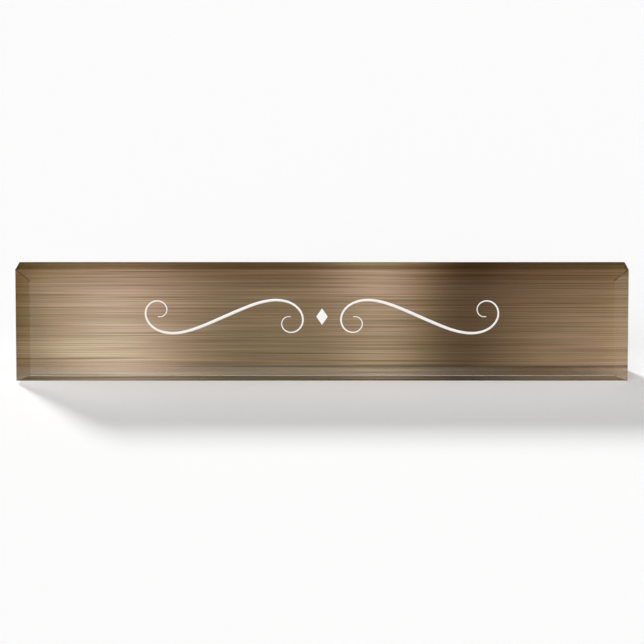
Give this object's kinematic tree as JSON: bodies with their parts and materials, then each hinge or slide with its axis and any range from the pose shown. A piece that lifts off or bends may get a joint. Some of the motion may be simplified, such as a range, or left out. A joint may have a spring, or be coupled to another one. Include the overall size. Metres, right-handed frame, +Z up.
{
  "type": "desk name plate",
  "caption": "Free-standing clear wedge-shaped desk name plate with a bevelled, leaning face, a brushed-bronze print bonded to its back and low clear bumper feet.",
  "frame": {"origin": "middle of the plate's outline, on the surface that its feet stand on", "axes": "+X along the plate, to the right of someone facing its front; the front looks towards -Y; +Z up"},
  "size_m": [0.254, 0.0248, 0.0463],
  "materials": {
    "clear_acrylic": "clear cast acrylic, polished on every face",
    "clear_adhesive": "clear adhesive sheet",
    "bronze_print": "printed film with fine brushed-bronze streaks along its length",
    "white_backing": "matt white vinyl",
    "clear_bumper": "clear soft polyurethane"
  },
  "bodies": {
    "root": {"acrylic_block": "clear_acrylic", "optical_adhesive": "clear_adhesive", "printed_film": "bronze_print", "backing_sheet": "white_backing", "front_left_foot": "clear_bumper", "front_left_foot_pad": "clear_adhesive", "front_right_foot": "clear_bumper", "front_right_foot_pad": "clear_adhesive", "rear_left_foot": "clear_bumper", "rear_left_foot_pad": "clear_adhesive", "rear_right_foot": "clear_bumper", "rear_right_foot_pad": "clear_adhesive"}
  },
  "joints": []
}
